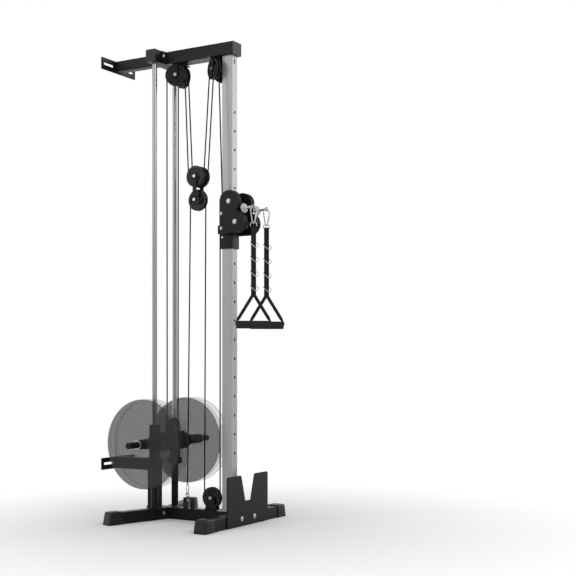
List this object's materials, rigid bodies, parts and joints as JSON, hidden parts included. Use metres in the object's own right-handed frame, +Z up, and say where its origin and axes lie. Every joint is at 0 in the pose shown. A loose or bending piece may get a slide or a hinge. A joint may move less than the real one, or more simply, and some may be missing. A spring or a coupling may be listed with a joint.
{
  "type": "wall-mounted cable machine",
  "caption": "Wall-mounted cable machine: perforated upright with a pinned pulley trolley and two strap handles, guide rods, plate-loaded carriage, cables and pulleys",
  "frame": {"origin": "on the floor under the middle of the upright's front face, on the plane of symmetry", "axes": "+Z up, +Y towards the wall, +X to the right of someone who faces the machine"},
  "size_m": [0.7328, 0.9725, 2.4],
  "materials": {
    "black_frame": "satin black powder coat",
    "grey_upright": "silver-grey coat, satin",
    "bright_rod": "bright plated",
    "steel_fastener": "zinc plated",
    "pulley": "black nylon with a steel bearing",
    "cap_plastic": "matt black plastic",
    "slide_plastic": "smooth black plastic",
    "bumper_rubber": "matt rubber",
    "cable": "black sheath on a steel core",
    "webbing": "woven black webbing",
    "grip_foam": "fine foam",
    "plate_grey": "smooth grey, lightly see-through"
  },
  "bodies": {
    "frame": {"upright": "grey_upright", "top_beam": "black_frame", "top_crossbar": "black_frame", "upper_wall_bracket": "black_frame", "lower_wall_bracket": "black_frame", "base_beam": "black_frame", "rear_legs": "black_frame", "front_foot": "black_frame", "foot_plate": "black_frame", "end_caps": "cap_plastic", "guide_rods": "bright_rod", "rod_standoffs": "black_frame", "rubber_bumpers": "bumper_rubber", "rear_pulley_hanger": "black_frame", "front_pulley_hanger": "black_frame", "base_pulley_bracket": "black_frame", "frame_fasteners": "steel_fastener", "anchor_carabiner": "steel_fastener", "cable_frame_wraps": "cable", "cable_trolley_strands": "cable", "cable_block_strands": "cable", "cable_carriage_strands": "cable", "cable_lower_block_strands": "cable", "cable_lower_trolley_strand": "cable"},
    "near_rear_top_wheel": {"near_rear_top_pulley": "pulley"},
    "far_rear_top_wheel": {"far_rear_top_pulley": "pulley"},
    "near_front_top_wheel": {"near_front_top_pulley": "pulley"},
    "far_front_top_wheel": {"far_front_top_pulley": "pulley"},
    "base_wheel": {"base_pulley": "pulley"},
    "block": {"block_cheeks": "black_frame", "block_axles": "steel_fastener", "block_cable_wraps": "cable"},
    "block_upper_wheels": {"block_upper_pulleys": "pulley"},
    "block_lower_wheel": {"block_lower_pulley": "pulley"},
    "trolley": {"trolley_collar": "black_frame", "trolley_liners": "slide_plastic", "trolley_cheeks": "black_frame", "trolley_bolts": "steel_fastener", "trolley_cable_wraps": "cable", "selector_spring": "steel_fastener"},
    "trolley_upper_wheels": {"trolley_upper_pulleys": "pulley"},
    "trolley_lower_wheels": {"trolley_lower_pulleys": "pulley"},
    "selector": {"selector_pin": "steel_fastener"},
    "carriage": {"carriage_frame": "black_frame", "guide_bushings": "slide_plastic", "peg_adapters": "slide_plastic", "carriage_fasteners": "steel_fastener", "carriage_cable_wrap": "cable"},
    "carriage_wheel": {"carriage_pulley": "pulley"},
    "near_weights": {"near_plates": "plate_grey"},
    "far_weights": {"far_plates": "plate_grey"},
    "near_end": {"near_cable_end": "steel_fastener"},
    "far_end": {"far_cable_end": "steel_fastener"},
    "near_clip": {"near_carabiner": "steel_fastener"},
    "far_clip": {"far_carabiner": "steel_fastener"},
    "near_handle": {"near_strap": "webbing"},
    "far_handle": {"far_strap": "webbing"},
    "near_grip_body": {"near_grip": "grip_foam"},
    "far_grip_body": {"far_grip": "grip_foam"}
  },
  "joints": [
    {"name": "trolley_slide", "type": "slide", "parent": "frame", "child": "trolley", "axis": [0, 0, 1], "range_m": [-0.6615, 0.567], "deforming": ["cable_trolley_strands", "cable_lower_trolley_strand"]},
    {"name": "block_slide", "type": "slide", "parent": "frame", "child": "block", "axis": [0, 0, 1], "range_m": [-0.2836, 0.3308], "deforming": ["cable_block_strands", "cable_lower_block_strands"]},
    {"name": "carriage_slide", "type": "slide", "parent": "frame", "child": "carriage", "axis": [0, 0, 1], "range_m": [0, 1.5], "deforming": ["cable_carriage_strands"]},
    {"name": "selector_pull", "type": "slide", "parent": "trolley", "child": "selector", "axis": [0, -1, 0], "range_m": [-0.014, 0]},
    {"name": "near_pull", "type": "slide", "parent": "trolley", "child": "near_end", "axis": [0, -0.9945, 0.1045], "range_m": [0, 1.5]},
    {"name": "near_clip_swing", "type": "hinge", "parent": "near_end", "child": "near_clip", "pos_m": [-0.0605, -0.149, 1.56448], "axis": [-0.9744, 0.225, 0], "range_deg": [-3, 25]},
    {"name": "near_handle_swing", "type": "hinge", "parent": "near_clip", "child": "near_handle", "pos_m": [-0.0605, -0.149, 1.48878], "axis": [0.5592, -0.829, 0], "range_deg": [-25, 4]},
    {"name": "near_grip_turn", "type": "hinge", "parent": "near_handle", "child": "near_grip_body", "pos_m": [-0.0605, -0.149, 0.98978], "axis": [0.5592, -0.829, 0], "continuous": true},
    {"name": "far_pull", "type": "slide", "parent": "trolley", "child": "far_end", "axis": [0, -0.9945, 0.1045], "range_m": [0, 1.5]},
    {"name": "far_clip_swing", "type": "hinge", "parent": "far_end", "child": "far_clip", "pos_m": [0.0605, -0.149, 1.56448], "axis": [-0.9744, 0.225, 0], "range_deg": [-1, 8]},
    {"name": "far_handle_swing", "type": "hinge", "parent": "far_clip", "child": "far_handle", "pos_m": [0.0605, -0.149, 1.48878], "axis": [0.5592, -0.829, 0], "range_deg": [-7, 25]},
    {"name": "far_grip_turn", "type": "hinge", "parent": "far_handle", "child": "far_grip_body", "pos_m": [0.0605, -0.149, 0.98978], "axis": [0.5592, -0.829, 0], "continuous": true},
    {"name": "near_rear_top_turn", "type": "hinge", "parent": "frame", "child": "near_rear_top_wheel", "pos_m": [-0.0325, 0.338, 2.274], "axis": [0.9342, 0.3567, 0], "continuous": true},
    {"name": "near_front_top_turn", "type": "hinge", "parent": "frame", "child": "near_front_top_wheel", "pos_m": [-0.039, 0.097, 2.274], "axis": [0.8902, -0.4555, 0], "continuous": true},
    {"name": "far_rear_top_turn", "type": "hinge", "parent": "frame", "child": "far_rear_top_wheel", "pos_m": [0.0325, 0.338, 2.274], "axis": [0.9342, -0.3567, 0], "continuous": true},
    {"name": "far_front_top_turn", "type": "hinge", "parent": "frame", "child": "far_front_top_wheel", "pos_m": [0.039, 0.097, 2.274], "axis": [0.8902, 0.4555, 0], "continuous": true},
    {"name": "base_turn", "type": "hinge", "parent": "frame", "child": "base_wheel", "pos_m": [0, 0.135, 0.122], "axis": [1, 0, 0], "continuous": true},
    {"name": "block_upper_turn", "type": "hinge", "parent": "block", "child": "block_upper_wheels", "pos_m": [0, 0.222, 1.749], "axis": [1, 0, 0], "continuous": true},
    {"name": "block_lower_turn", "type": "hinge", "parent": "block", "child": "block_lower_wheel", "pos_m": [0, 0.222, 1.63], "axis": [1, 0, 0], "continuous": true},
    {"name": "trolley_upper_turn", "type": "hinge", "parent": "trolley", "child": "trolley_upper_wheels", "pos_m": [0, -0.014, 1.6], "axis": [1, 0, 0], "continuous": true},
    {"name": "trolley_lower_turn", "type": "hinge", "parent": "trolley", "child": "trolley_lower_wheels", "pos_m": [0, -0.05, 1.497], "axis": [1, 0, 0], "continuous": true},
    {"name": "carriage_wheel_turn", "type": "hinge", "parent": "carriage", "child": "carriage_wheel", "pos_m": [0, 0.38214, 0.465], "axis": [0, 1, 0], "continuous": true},
    {"name": "near_weights_slide", "type": "slide", "parent": "carriage", "child": "near_weights", "axis": [-1, 0, 0], "range_m": [0, 0.207]},
    {"name": "far_weights_slide", "type": "slide", "parent": "carriage", "child": "far_weights", "axis": [1, 0, 0], "range_m": [0, 0.207]}
  ],
  "couplings": [
    {"joint": "block_slide", "follows": "trolley_slide", "ratio": -0.5},
    {"joint": "near_pull", "follows": "carriage_slide", "ratio": 1},
    {"joint": "far_pull", "follows": "carriage_slide", "ratio": 1},
    {"joint": "near_rear_top_turn", "follows": "carriage_slide", "rad_per_m": 21.164},
    {"joint": "near_front_top_turn", "follows": "carriage_slide", "rad_per_m": 21.164},
    {"joint": "far_rear_top_turn", "follows": "carriage_slide", "rad_per_m": 21.164},
    {"joint": "far_front_top_turn", "follows": "carriage_slide", "rad_per_m": 21.164},
    {"joint": "block_upper_turn", "follows": "carriage_slide", "rad_per_m": -21.164},
    {"joint": "trolley_upper_turn", "follows": "carriage_slide", "rad_per_m": -21.164},
    {"joint": "base_turn", "follows": "trolley_slide", "rad_per_m": -21.164},
    {"joint": "block_lower_turn", "follows": "trolley_slide", "rad_per_m": 10.582}
  ]
}
